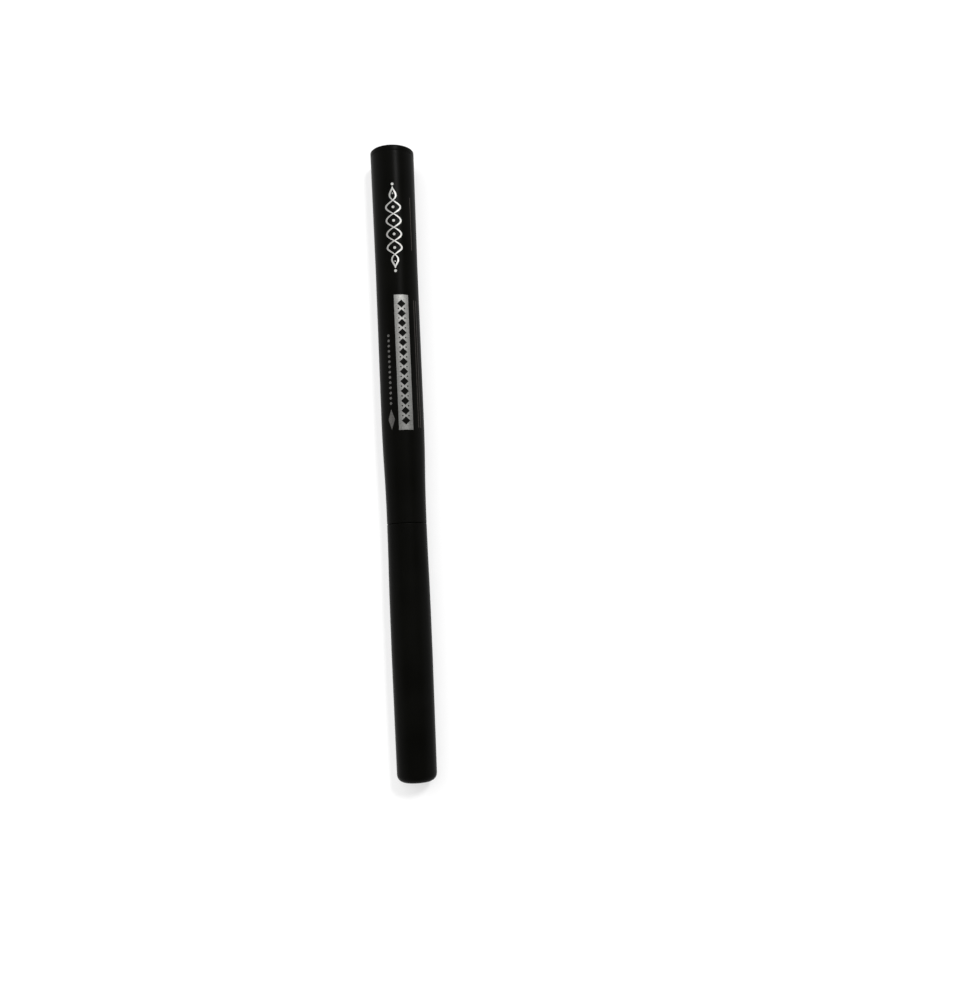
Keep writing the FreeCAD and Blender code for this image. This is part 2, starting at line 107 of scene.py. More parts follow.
# Inside of the shells and under the cap, in millimetres
PRESS_GAP = 0.01
SLIP_GAP = 0.05
SOCKET_RADIUS = radius_of("front_section") + PRESS_GAP
CHAMBER_RADIUS = radius_of("ink_tank") + SLIP_GAP
PLUG_GAP = 0.12
PLUG_RADIUS = CHAMBER_RADIUS - PLUG_GAP
PLUG_WALL = 0.8
RIB_RADIUS = CHAMBER_RADIUS - PRESS_GAP
RIB_WIDTH = 0.6
RIB_PITCH = 2.0
LINER_STOP = 0.3
CAP_BORE = radius_of("cap_liner") + PRESS_GAP
CAP_HOLLOW = CAP_BORE - LINER_STOP
CAP_END_WALL = 1.4
CAP_FLOOR = CAP_END + CAP_END_WALL
SPRING_WIRE = 0.22
SPRING_TURNS = 6
SPRING_END_TURNS = 0.9
BOSS_GAP = 0.28
BOSS_RADIUS = radius_of("cap_spring") - SPRING_WIRE * 2 - BOSS_GAP
BOSS_HEIGHT = 1.2
NECK_LENGTH = 12.0
NECK_RADIUS = 3.22
NECK_RING_PLACE = -5.5
RING_SECTION = 0.4
RING_STAND_OUT = 0.06
RING_CLEARANCE = 0.04
RING_SIDE_GAP = 0.05
NOSE_ROOT = 2.03
NOSE_LIP = 0.1
NOSE_TIP_RADIUS = radius_of("brush_collar") + NOSE_LIP
VENT_SETBACK = 2.5
VENT_PLACE = -NECK_LENGTH - VENT_SETBACK
VENT_RADIUS = 0.3
FRONT_WALL = 0.9
RELAY_BORE = radius_of("relay_core") + SLIP_GAP
STUB_BORE = 1.56
BRUSH_RADIUS = radius_of("brush_tip")
FERRULE_RADIUS = 1.05
FILAMENT_ROOT = FERRULE_FRONT + 0.4
FILAMENT_RADIUS = 0.046

# Print on the barrel, in millimetres: stations, and arcs from the top line towards +X
BAR_START = 20.0
BAR_END = 49.75
BAR_ARC = 0.61
BAR_HALF_WIDTH = 1.59
ORNAMENT_START = 54.8
ORNAMENT_END = 74.9
ORNAMENT_ARC = -0.35
ORNAMENT_SWING = 1.6
FOIL_HEIGHT = 0.010
OVERPRINT_HEIGHT = 0.016
THIN_PRINT_HEIGHT = 0.008
PRINT_SUNK = 0.01
FINEST_PRINT = 0.008

# Fineness of the meshes
ROUND_STEPS = 128
FILLET_STEPS = 5
CURVE_STEPS = 24
SHARP_ANGLE = math.radians(40)


def on_pen(radius, angle, station):
    """A point of the pen in metres: radius from its axis, angle from the top towards +X, station."""
    x = radius * math.sin(angle)
    z = AXIS_HEIGHT + radius * math.cos(angle)
    return Vector((x, SEAM_Y + station, z)) * MM


# Materials

def grey(tone):
    """A neutral colour."""
    return (tone, tone, tone)


def new_material(name, color, roughness, metallic=0.0):
    """A material with a Principled shader. Returns both."""
    material = bpy.data.materials.new(name)
    material.use_nodes = True
    shader = material.node_tree.nodes["Principled BSDF"]
    shader.inputs["Base Color"].default_value = (*color, 1)
    shader.inputs["Roughness"].default_value = roughness
    shader.inputs["Metallic"].default_value = metallic
    return material, shader


def add_noise(material, scale, detail, stretch=(1, 1, 1)):
    """A noise over the object's own coordinates, in grains per metre along each stretched axis."""
    nodes = material.node_tree.nodes
    links = material.node_tree.links
    place = nodes.new("ShaderNodeTexCoord")
    mapping = nodes.new("ShaderNodeMapping")
    mapping.inputs["Scale"].default_value = stretch
    noise = nodes.new("ShaderNodeTexNoise")
    noise.inputs["Scale"].default_value = scale
    noise.inputs["Detail"].default_value = detail
    links.new(place.outputs["Object"], mapping.inputs["Vector"])
    links.new(mapping.outputs["Vector"], noise.inputs["Vector"])
    return noise.outputs["Fac"]


def spread_color(material, shader, factor, low, high):
    """Drives the base colour between two tones."""
    ramp = material.node_tree.nodes.new("ShaderNodeValToRGB")
    first, last = ramp.color_ramp.elements
    first.position = 0.3
    first.color = (*low, 1)
    last.position = 0.7
    last.color = (*high, 1)
    material.node_tree.links.new(factor, ramp.inputs["Fac"])
    material.node_tree.links.new(ramp.outputs["Color"], shader.inputs["Base Color"])


def spread_roughness(material, shader, factor, low, high):
    """Drives the roughness between two values."""
    span = material.node_tree.nodes.new("ShaderNodeMapRange")
    span.inputs["From Min"].default_value = 0.3
    span.inputs["From Max"].default_value = 0.7
    span.inputs["To Min"].default_value = low
    span.inputs["To Max"].default_value = high
    material.node_tree.links.new(factor, span.inputs["Value"])
    material.node_tree.links.new(span.outputs["Result"], shader.inputs["Roughness"])


def add_bump(material, shader, factor, strength, height):
    """Raises the surface by up to a height in metres."""
    bump = material.node_tree.nodes.new("ShaderNodeBump")
    bump.inputs["Strength"].default_value = strength
    bump.inputs["Distance"].default_value = height
    material.node_tree.links.new(factor, bump.inputs["Height"])
    material.node_tree.links.new(bump.outputs["Normal"], shader.inputs["Normal"])


def moulded_plastic(name, low, high, roughness, grain, specular=0.5):
    """Moulded plastic: cloudy tone, slightly uneven gloss and a fine grain."""
    material, shader = new_material(name, high, roughness)
    shader.inputs["Specular IOR Level"].default_value = specular
    clouds = add_noise(material, scale=90, detail=3)
    patches = add_noise(material, scale=2600, detail=3)
    grains = add_noise(material, scale=grain, detail=3)
    uneven = 0.025
    spread_color(material, shader, clouds, low, high)
    spread_roughness(material, shader, patches, roughness - uneven, roughness + uneven)
    add_bump(material, shader, grains, strength=0.25, height=4e-6)
    return material


def satin_black(name):
    """Deep black moulding with a soft sheen, as on all outer pieces."""
    low = (0.0020, 0.0020, 0.0016)
    high = (0.0032, 0.0032, 0.0027)
    return moulded_plastic(name, low, high, roughness=0.35, grain=5200, specular=0.025)


def drawn_steel(name, tone, roughness):
    """Bright steel with faint scuffs."""
    material, shader = new_material(name, tone, roughness, 1.0)
    dull = tuple(part * 0.8 for part in tone)
    stains = add_noise(material, scale=900, detail=4)
    scuffs = add_noise(material, scale=2400, detail=4)
    grains = add_noise(material, scale=5200, detail=3)
    spread_color(material, shader, stains, dull, tone)
    spread_roughness(material, shader, scuffs, roughness - 0.05, roughness + 0.08)
    add_bump(material, shader, grains, strength=0.15, height=2e-6)
    return material


def bonded_fibre(name, low, high, roughness):
    """Fibres that run along the pen and are soaked with ink."""
    along = (1, 0.04, 1)
    material, shader = new_material(name, high, roughness)
    strands = add_noise(material, 9000, 3, along)
    wet = add_noise(material, 6000, 3, along)
    ridges = add_noise(material, 12000, 2, along)
    spread_color(material, shader, strands, low, high)
    spread_roughness(material, shader, wet, roughness - 0.08, roughness + 0.1)
    add_bump(material, shader, ridges, strength=0.5, height=1e-5)
    return material


def foil(name, low, high):
    """Hot-stamped foil: grey metal with a fine broken grain."""
    material, shader = new_material(name, high, roughness=0.46, metallic=0.65)
    specks = add_noise(material, scale=3600, detail=6)
    scuffs = add_noise(material, scale=3000, detail=3)
    grains = add_noise(material, scale=8000, detail=2)
    spread_color(material, shader, specks, low, high)
    spread_roughness(material, shader, scuffs, 0.40, 0.54)
    add_bump(material, shader, grains, strength=0.2, height=2e-6)
    return material


def paint_shade_towards_seam(material, start, end, left):
    """Paints shade on a foil: its colour grows darker from one station down to another, where only a share
    of its tone is left.
    """
    nodes = material.node_tree.nodes
    links = material.node_tree.links
    base = nodes["Principled BSDF"].inputs["Base Color"]
    grain = base.links[0].from_socket
    place = nodes.new("ShaderNodeTexCoord")
    split = nodes.new("ShaderNodeSeparateXYZ")
    span = nodes.new("ShaderNodeMapRange")
    span.inputs["From Min"].default_value = (SEAM_Y + end) * MM
    span.inputs["From Max"].default_value = (SEAM_Y + start) * MM
    span.inputs["To Min"].default_value = left
    # painted shade: the foil's colour is scaled down along the pen
    thin = nodes.new("ShaderNodeVectorMath")
    thin.operation = "SCALE"
    links.new(place.outputs["Object"], split.inputs["Vector"])
    links.new(split.outputs["Y"], span.inputs["Value"])
    links.new(grain, thin.inputs["Vector"])
    links.new(span.outputs["Result"], thin.inputs["Scale"])
    links.new(thin.outputs["Vector"], base)


def make_plastics():
    """Mouldings and rubbers, by the record's slot name.

    Each row holds a name, two tones, roughness and grain, and for the seal its specular level.
    """
    rows = {
        "nose_black": ("gloss_black_nose", grey(0.0035), grey(0.006), 0.20, 2600),
        "liner_black": ("plain_black_liner", grey(0.010), grey(0.016), 0.45, 4200),
        "tank_natural": ("natural_tank", (0.60, 0.61, 0.60), (0.78, 0.79, 0.78), 0.34, 2200),
        "collector_white": ("white_collector", (0.66, 0.66, 0.64), (0.78, 0.78, 0.76), 0.36, 2600),
        "collar_white": ("white_brush_collar", (0.64, 0.64, 0.62), (0.75, 0.75, 0.73), 0.32, 2600),
        "inner_cap_white": ("white_inner_cap", (0.66, 0.66, 0.64), (0.77, 0.77, 0.75), 0.34, 2600),
        "seal_rubber": ("black_rubber", grey(0.008), grey(0.016), 0.62, 6400, 0.35),
        "gasket_rubber": ("milky_elastomer", (0.56, 0.55, 0.52), (0.68, 0.67, 0.63), 0.55, 4200),
    }
    made = {slot: moulded_plastic(*row) for slot, row in rows.items()}
    made["barrel_black"] = satin_black("satin_black_barrel")
    made["cap_black"] = satin_black("satin_black_cap")
    made["plug_black"] = satin_black("satin_black_plug")
    return made


def make_metals_and_fibres():
    """Steel and fibre finishes, by the record's slot name."""
    return {
        "ball_steel": drawn_steel("polished_steel_ball", (0.60, 0.60, 0.61), 0.14),
        "spring_steel": drawn_steel("drawn_spring_wire", grey(0.50), 0.32),
        "relay_fibre": bonded_fibre("inked_relay_fibre", (0.010, 0.010, 0.013), (0.030, 0.030, 0.036), 0.75),
        "brush_fibre": bonded_fibre("inked_filaments", grey(0.004), (0.012, 0.011, 0.010), 0.30),
    }


def make_foils():
    """Print finishes: the record's two slots, and a brighter and a fainter variant of them."""
    made = {
        "silver_print": foil("silver_foil", (0.225, 0.225, 0.215), (0.365, 0.365, 0.35)),
        "bright_print": foil("bright_foil", (0.41, 0.41, 0.40), (0.57, 0.57, 0.55)),
        "faint_print": foil("worn_foil", (0.07, 0.068, 0.065), (0.17, 0.166, 0.158)),
        "ghost_print": foil("thin_bronze_print", (0.012, 0.010, 0.008), (0.045, 0.038, 0.032)),
    }
    # painted shade: the silver bar is darker towards the seam, standing in for light that falls off there
    paint_shade_towards_seam(made["silver_print"], BAR_END, BAR_START, left=0.66)
    return made


# Shapes

def smooth_rise(t):
    """Share of an S-curve's rise at a share t of its length, level at both ends."""
    return 2 * t * t if t < 0.5 else 1 - 2 * (1 - t) ** 2


def curve(radius_a, station_a, radius_b, station_b, rise):
    """Outline points from one radius to another. rise(t) is the share reached at a share t."""
    points = []
    for step in range(CURVE_STEPS + 1):
        t = step / CURVE_STEPS
        radius = radius_a + (radius_b - radius_a) * rise(t)
        points.append((radius, station_a + (station_b - station_a) * t))
    return points


def ogee(radius_a, station_a, radius_b, station_b):
    """An S-curve from one radius to another, level at both ends."""
    return curve(radius_a, station_a, radius_b, station_b, smooth_rise)


def bow(radius_a, station_a, radius_b, station_b):
    """A bulging curve from one radius to another, level at its start."""
    return curve(radius_a, station_a, radius_b, station_b, lambda t: t * t)


def soften(outline):
    """Rounds each corner of a closed outline that carries a fillet radius as its third value."""
    points = []
    for index, corner in enumerate(outline):
        if len(corner) == 2:
            points.append(corner)
            continue
        here = Vector(corner[:2])
        fillet = corner[2]
        into = (Vector(outline[index - 1][:2]) - here).normalized()
        out = (Vector(outline[(index + 1) % len(outline)][:2]) - here).normalized()
        half = into.angle(out) / 2
        reach = fillet / math.tan(half)
        centre = here + (into + out).normalized() * fillet / math.sin(half)
        first = (here + into * reach - centre).normalized()
        last = (here + out * reach - centre).normalized()
        for step in range(FILLET_STEPS + 1):
            points.append(tuple(centre + first.slerp(last, step / FILLET_STEPS) * fillet))
    return points


def add_ring(mesh, radius, station):
    """One ring of vertices round the axis, or a single vertex on it."""
    on_axis = 1e-6
    if radius < on_axis:
        return [mesh.verts.new(on_pen(0, 0, station))]
    turn = 2 * math.pi / ROUND_STEPS
    return [mesh.verts.new(on_pen(radius, step * turn, station)) for step in range(ROUND_STEPS)]


def join_rings(mesh, ring_a, ring_b):
    """Faces between two neighbouring rings."""
    for step in range(ROUND_STEPS):
        after = (step + 1) % ROUND_STEPS
        corners = [ring_a[step % len(ring_a)], ring_a[after % len(ring_a)],
                   ring_b[after % len(ring_b)], ring_b[step % len(ring_b)]]
        unique = list(dict.fromkeys(corners))
        if len(unique) > 2:
            mesh.faces.new(unique)


def add_turned(mesh, points):
    """Turns a closed outline of (radius, station) points round the pen's axis."""
    rings = [add_ring(mesh, radius, station) for radius, station in points]
    for index, ring in enumerate(rings):
        join_rings(mesh, rings[index - 1], ring)


def skin_tube(mesh, rings):
    """Faces along a row of equal rings of vertices, closed at both ends."""
    sides = len(rings[0])
    for ring_a, ring_b in zip(rings, rings[1:]):
        for side in range(sides):
            after = (side + 1) % sides
            mesh.faces.new((ring_a[side], ring_a[after], ring_b[after], ring_b[side]))
    mesh.faces.new(rings[0])
    mesh.faces.new(rings[-1])


def new_piece(name, mesh):
    """Turns a bmesh into an object with smooth faces and sharp edges."""
    bmesh.ops.recalc_face_normals(mesh, faces=mesh.faces)
    data = bpy.data.meshes.new(name)
    mesh.to_mesh(data)
    mesh.free()
    data.polygons.foreach_set("use_smooth", [True] * len(data.polygons))
    data.set_sharp_from_angle(angle=SHARP_ANGLE)
    piece = bpy.data.objects.new(name, data)
    bpy.context.scene.collection.objects.link(piece)
    return piece


def turn_piece(name, outline):
    """A piece turned from a closed outline, with its corners rounded."""
    mesh = bmesh.new()
    add_turned(mesh, soften(outline))
    return new_piece(name, mesh)


def dress(piece, body, node, slot):
    """Puts a piece on its body in place of a CAD node, with the finish of a slot."""
    piece.data.materials.append(FINISHES[slot])
    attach(piece, body)
    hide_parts(node)


def make_barrel():
    """Outer tube, waisted at the seam and widening to the tail."""
    return turn_piece("barrel_tube", [
        (SOCKET_RADIUS, 0, MOUTH_FILLET),
        (SEAM_RADIUS, 0, RIM_FILLET),
        *ogee(SEAM_RADIUS, RIM_FILLET * 2, BODY_RADIUS, BARREL_WAIST),
        (BODY_RADIUS, BARREL_REAR - TAIL_TAPER),
        (TAIL_RADIUS, BARREL_REAR, JOINT_FILLET),
        (CHAMBER_RADIUS, BARREL_REAR),
        (CHAMBER_RADIUS, SOCKET_DEPTH),
        (SOCKET_RADIUS, SOCKET_DEPTH),
    ])


def gate_dimple(radius, depth, face, inwards, fillet):
    """Outline of the small dimple of a moulding gate in an end face, from the axis outwards."""
    floor = face + inwards * depth
    return [
        (0, floor),
        (radius * DIMPLE_FLOOR_SHARE, floor, fillet),
        (radius, face, DIMPLE_RIM_FILLET),
    ]


def plug_rib(start):
    """Outline of one sealing rib of the plug, from its high end down to its start."""
    return [
        (PLUG_RADIUS, start + RIB_WIDTH),
        (RIB_RADIUS, start + RIB_WIDTH * 0.75),
        (RIB_RADIUS, start + RIB_WIDTH * 0.25),
        (PLUG_RADIUS, start),
    ]


def make_tail_plug():
    """Tail plug with a rounded flange, a gate dimple and two sealing ribs."""
    bore = PLUG_RADIUS - PLUG_WALL
    tip_fillet = 0.1
    return turn_piece("tail_end", [
        *gate_dimple(0.7, 0.18, TAIL_END, -1, 0.15),
        (TAIL_RADIUS, TAIL_END, TAIL_ROUNDING),
        (TAIL_RADIUS, BARREL_REAR, JOINT_FILLET),
        (PLUG_RADIUS, BARREL_REAR),
        *plug_rib(PLUG_TIP + RIB_PITCH * 1.5),
        *plug_rib(PLUG_TIP + RIB_PITCH * 0.5),
        (PLUG_RADIUS, PLUG_TIP, tip_fillet),
        (bore, PLUG_TIP),
        (bore, BARREL_REAR),
        (0, BARREL_REAR),
    ])


def make_cap():
    """Outer cap, waisted at its mouth and rounded at its closed end, with a boss for the spring."""
    straight_end = -CAP_WAIST - CAP_STRAIGHT
    boss_edge = 0.15
    boss_foot = 0.1
    floor_corner = 0.4
    return turn_piece("cap_outer", [
        (CAP_BORE, CAP_MOUTH, MOUTH_FILLET),
        (SEAM_RADIUS, CAP_MOUTH, RIM_FILLET),
        *ogee(SEAM_RADIUS, CAP_MOUTH - RIM_FILLET * 2, CAP_RADIUS, -CAP_WAIST),
        (CAP_RADIUS, straight_end),
        (CAP_END_RADIUS, CAP_END, CAP_ROUNDING),
        *reversed(gate_dimple(0.6, 0.15, CAP_END, 1, 0.1)),
        (0, CAP_FLOOR + BOSS_HEIGHT),
        (BOSS_RADIUS, CAP_FLOOR + BOSS_HEIGHT, boss_edge),
        (BOSS_RADIUS, CAP_FLOOR, boss_foot),
        (CAP_HOLLOW, CAP_FLOOR, floor_corner),
        (CAP_HOLLOW, LINER_BACK),
        (CAP_BORE, LINER_BACK),
    ])


def make_front_section():
    """Neck with the groove of its ring, shoulder, and the nose that carries the brush."""
    groove_floor = NECK_RADIUS + RING_STAND_OUT - RING_SECTION * 2 - RING_CLEARANCE
    groove_half = RING_SECTION + RING_SIDE_GAP
    spigot = SOCKET_RADIUS - PRESS_GAP
    hollow = spigot - FRONT_WALL
    socket = FERRULE_RADIUS + PRESS_GAP
    edge = 0.06
    neck_foot = 0.08
    neck_end = 0.16
    nose_foot = 0.12
    nose_rim = 0.08
    nose_start = -NECK_LENGTH - 0.3
    nose = turn_piece("neck_and_nose", [
        (hollow, SOCKET_DEPTH),
        (spigot, SOCKET_DEPTH),
        (spigot, 0, edge),
        (NECK_RADIUS, 0, neck_foot),
        (NECK_RADIUS, NECK_RING_PLACE + groove_half, edge),
        (groove_floor, NECK_RING_PLACE + groove_half, edge),
        (groove_floor, NECK_RING_PLACE - groove_half, edge),
        (NECK_RADIUS, NECK_RING_PLACE - groove_half, edge),
        (NECK_RADIUS, -NECK_LENGTH, neck_end),
        (NOSE_ROOT, -NECK_LENGTH, nose_foot),
        *bow(NOSE_ROOT, nose_start, NOSE_TIP_RADIUS, NOSE_END)[:-1],
        (NOSE_TIP_RADIUS, NOSE_END, nose_rim),
        (socket, NOSE_END),
        (socket, FERRULE_BACK),
        (RELAY_BORE, FERRULE_BACK),
        (RELAY_BORE, STUB_TIP),
        (STUB_BORE, STUB_TIP),
        (STUB_BORE, FRONT_WALL),
        (hollow, FRONT_WALL),
    ])
    drill_vent(nose)
    return nose


def drill_vent(nose):
    """Cuts the air hole from the underside of the nose into the bore of the relay."""
    outside = NOSE_ROOT * 1.2
    inside = RELAY_BORE * 0.5
    middle = on_pen(-(outside + inside) / 2, 0, VENT_PLACE)
    radius = VENT_RADIUS * MM
    depth = (outside - inside) * MM
    mesh = bmesh.new()
    bmesh.ops.create_cone(mesh, cap_ends=True, segments=32, radius1=radius, radius2=radius,
                          depth=depth, matrix=Matrix.Translation(middle))
    drill = new_piece("vent_drill", mesh)
    cut = nose.modifiers.new("vent", "BOOLEAN")
    cut.operation = "DIFFERENCE"
    cut.object = drill
    bpy.context.view_layer.update()
    shaped = nose.evaluated_get(bpy.context.evaluated_depsgraph_get())
    nose.data = bpy.data.meshes.new_from_object(shaped)
    nose.data.set_sharp_from_angle(angle=SHARP_ANGLE)
    nose.modifiers.clear()
    bpy.data.objects.remove(drill)


def make_neck_ring():
    """Soft ring in the neck's groove, with the fine flash line of its mould."""
    middle = radius_of("neck_ring") - RING_SECTION
    flash = 0.012
    steps = 36
    outline = []
    for step in range(steps):
        angle = 2 * math.pi * step / steps
        on_flash = step % (steps // 2) == 0
        section = RING_SECTION if on_flash else RING_SECTION - flash
        outline.append((middle + section * math.cos(angle), NECK_RING_PLACE + section * math.sin(angle)))
    return turn_piece("neck_o_ring", outline)


def make_brush_collar():
    """Lipped sleeve that holds the filaments in the nose."""
    bore = BRUSH_RADIUS + PRESS_GAP
    lip = radius_of("brush_collar")
    back_edge = 0.05
    lip_front = 0.12
    bore_edge = 0.08
    return turn_piece("filament_collar", [
        (bore, FERRULE_BACK),
        (FERRULE_RADIUS, FERRULE_BACK, back_edge),
        (FERRULE_RADIUS, NOSE_END),
        (lip, NOSE_END, back_edge),
        (lip, FERRULE_FRONT, lip_front),
        (bore, FERRULE_FRONT, bore_edge),
    ])


def brush_profile(t):
    """Radius of the brush in millimetres, from its collar (0) to its point (1)."""
    fullness = 1.9
    return BRUSH_RADIUS * max(1 - t ** fullness, 0.0)


def add_filament(mesh, base_radius, angle, reach, thickness, lean):
    """One tapering filament from inside the collar to its own end."""
    sides = 6
    steps = 14
    thinning = 0.85
    rings = []
    for step in range(steps + 1):
        t = reach * step / steps
        station = FILAMENT_ROOT + (BRUSH_TIP - FILAMENT_ROOT) * t
        outward = base_radius * brush_profile(t) / BRUSH_RADIUS
        taper = thickness * (1 - thinning * (step / steps) ** 2)
        centre = on_pen(outward, angle + lean * t, station)
        ring = []
        for side in range(sides):
            around = 2 * math.pi * side / sides
            outwards = Vector((math.cos(around), 0, math.sin(around)))
            ring.append(mesh.verts.new(centre + outwards * taper * MM))
        rings.append(ring)
    skin_tube(mesh, rings)


def brush_core():
    """Outline of the dense middle of the brush, which ends a little behind the point."""
    base = BRUSH_RADIUS - FILAMENT_RADIUS / 2
    mouth = FERRULE_FRONT + 0.3
    point = BRUSH_TIP + 0.5
    share = 0.82
    steps = 16
    outline = [(base, FERRULE_BACK), (base, mouth)]
    for step in range(steps):
        t = step / steps
        outline.append((brush_profile(t) * share, FERRULE_FRONT + (point - FERRULE_FRONT) * t))
    return outline + [(0, point), (0, FERRULE_BACK)]


def make_brush():
    """Bundle of filaments that gather to a fine point, wet with ink."""
    draw = random.Random(7)
    mesh = bmesh.new()
    filaments = 240
    shortening = 0.30
    most_lean = 0.16
    golden_angle = math.pi * (3 - math.sqrt(5))
    for index in range(filaments):
        share = math.sqrt((index + 0.5) / filaments)
        base = (BRUSH_RADIUS - FILAMENT_RADIUS) * share
        reach = 1 - shortening * share ** 3 * draw.random()
        lean = draw.uniform(-most_lean, most_lean)
        thickness = FILAMENT_RADIUS * draw.uniform(0.85, 1.05)
        add_filament(mesh, base, index * golden_angle, reach, thickness, lean)
    add_turned(mesh, brush_core())
    return new_piece("filament_brush", mesh)


def spring_station(turns):
    """Station of the wire's middle after a number of turns from the cap's floor."""
    low = SPRING_LOW + SPRING_WIRE
    high = SPRING_HIGH - SPRING_WIRE
    close_pitch = SPRING_WIRE * 2.1
    end_rise = close_pitch * SPRING_END_TURNS
    free_turns = SPRING_TURNS - SPRING_END_TURNS * 2
    if turns < SPRING_END_TURNS:
        return low + close_pitch * turns
    if turns > SPRING_TURNS - SPRING_END_TURNS:
        return high - close_pitch * (SPRING_TURNS - turns)
    return low + end_rise + (high - low - end_rise * 2) * (turns - SPRING_END_TURNS) / free_turns


def make_spring():
    """Coil of round wire with closed end turns."""
    middle = radius_of("cap_spring") - SPRING_WIRE
    per_turn = 40
    sides = 12
    mesh = bmesh.new()
    rings = []
    for step in range(SPRING_TURNS * per_turn + 1):
        turns = step / per_turn
        station = spring_station(turns)
        ring = []
        for side in range(sides):
            around = 2 * math.pi * side / sides
            radius = middle + SPRING_WIRE * math.cos(around)
            place = on_pen(radius, 2 * math.pi * turns, station + SPRING_WIRE * math.sin(around))
            ring.append(mesh.verts.new(place))
        rings.append(ring)
    skin_tube(mesh, rings)
    return new_piece("coil_spring", mesh)


# Print on the barrel

def barrel_radius(station):
    """Outer radius of the barrel at a station."""
    rear = BARREL_REAR - TAIL_TAPER
    if station > rear:
        return BODY_RADIUS + (TAIL_RADIUS - BODY_RADIUS) * (station - rear) / TAIL_TAPER
    if station > BARREL_WAIST:
        return BODY_RADIUS
    return SEAM_RADIUS + (BODY_RADIUS - SEAM_RADIUS) * smooth_rise(station / BARREL_WAIST)


def add_ribbon(mesh, path, half_width, height, along, across):
    """A thin closed ribbon on the barrel. path(t) is its middle line as (arc, station), t from 0 to 1."""
    nearby = 0.001
    layers = ([], [])
    for step in range(along + 1):
        t = step / along
        middle = Vector(path(t))
        ahead = Vector(path(t + nearby)) - Vector(path(t - nearby))
        sideways = Vector((ahead.y, -ahead.x)).normalized() * max(half_width(t), FINEST_PRINT)
        for layer, lift in zip(layers, (height, -PRINT_SUNK)):
            row = []
            for side in range(across + 1):
                arc, station = middle + sideways * (2 * side / across - 1)
                radius = barrel_radius(station)
                row.append(mesh.verts.new(on_pen(radius + lift, arc / radius, station)))
            layer.append(row)
    close_ribbon(mesh, *layers)


def close_ribbon(mesh, top, bottom):
    """Faces over, under and round a ribbon's two layers of vertices."""
    across = len(top[0]) - 1
    for step in range(len(top) - 1):
        over, over_next = top[step:step + 2]
        under, under_next = bottom[step:step + 2]
        for side in range(across):
            mesh.faces.new((over[side], over[side + 1], over_next[side + 1], over_next[side]))
            mesh.faces.new((under[side], under[side + 1], under_next[side + 1], under_next[side]))
        for side in (0, across):
            mesh.faces.new((over[side], over_next[side], under_next[side], under[side]))
    for side in range(across):
        for end in (0, -1):
            over = top[end]
            under = bottom[end]
            mesh.faces.new((over[side], over[side + 1], under[side + 1], under[side]))


def add_rule(mesh, arc, start, end, half_width, height, across=2):
    """A straight printed line along the barrel."""
    def path(t):
        return arc, start + (end - start) * t
    add_ribbon(mesh, path, lambda t: half_width, height, along=48, across=across)


def add_dot(mesh, arc, station, radius, height):
    """A round printed dot."""
    def path(t):
        return arc, station + radius * (2 * t - 1)

    def half_chord(t):
        return radius * math.sqrt(max(1 - (2 * t - 1) ** 2, 0))
    add_ribbon(mesh, path, half_chord, height, along=16, across=2)


def add_lozenge(mesh, arc, station, half_length, half_width, height):
    """A printed lozenge."""
    def path(t):
        return arc, station + half_length * (2 * t - 1)

    def half_chord(t):
        return half_width * (1 - abs(2 * t - 1))
    add_ribbon(mesh, path, half_chord, height, along=8, across=10)


def add_wave(mesh, arc, start, end, swing, waves, height):
    """A printed line that swings from side to side, thick and thin, and narrows to both ends."""
    thinnest = 0.10
    swell = 0.09

    def path(t):
        fade = min(1, 0.05 + 4 * max(min(t, 1 - t), 0))
        return arc + swing * fade * math.sin(2 * math.pi * waves * t), start + (end - start) * t

    def half_width(t):
        return thinnest + swell * abs(math.sin(2 * math.pi * waves * t))
    add_ribbon(mesh, path, half_width, height, along=waves * 48, across=2)


def finish_print(name, mesh, finish):
    """Makes one printed colour a thin piece on the barrel."""
    piece = new_piece(name, mesh)
    piece.data.materials.append(FINISHES[finish])
    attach(piece, "barrel")


def make_silver_bar():
    """Foil bar with a chain of plain lozenges and dots left open in it."""
    links = 13
    margin = 2.0
    dot = 0.17
    pitch = (BAR_END - BAR_START - margin * 2) / (links - 1)
    bar = bmesh.new()
    add_rule(bar, BAR_ARC, BAR_START, BAR_END, BAR_HALF_WIDTH, FOIL_HEIGHT, across=12)
    finish_print("silver_bar", bar, "silver_print")
    chain = bmesh.new()
    for link in range(links):
        station = BAR_START + margin + pitch * link
        add_lozenge(chain, BAR_ARC, station, pitch * 0.42, BAR_HALF_WIDTH * 0.58, OVERPRINT_HEIGHT)
        if link < links - 1:
            for side in (-1, 1):
                arc = BAR_ARC + side * BAR_HALF_WIDTH * 0.42
                add_dot(chain, arc, station + pitch / 2, dot, OVERPRINT_HEIGHT)
    finish_print("bar_chain", chain, "barrel_black")


def make_tail_ornament():
    """Braid of two swinging lines with a dot in each of its eyes and at its ends."""
    waves = 3
    dot = 0.3
    inset = dot * 3
    crossing_step = 0.001
    start = ORNAMENT_START + inset
    end = ORNAMENT_END - inset
    ornament = bmesh.new()
    for side in (-1, 1):
        height = FOIL_HEIGHT + side * crossing_step
        add_wave(ornament, ORNAMENT_ARC, start, end, side * ORNAMENT_SWING, waves, height)
    eyes = waves * 2
    eye = (end - start) / eyes
    for step in range(eyes):
        at_end = step in (0, eyes - 1)
        radius = dot / 2 if at_end else dot
        add_dot(ornament, ORNAMENT_ARC, start + eye * (step + 0.5), radius, FOIL_HEIGHT)
    for station in (ORNAMENT_START + dot, ORNAMENT_END - dot):
        add_dot(ornament, ORNAMENT_ARC, station, dot, FOIL_HEIGHT)
    finish_print("tail_ornament", ornament, "bright_print")


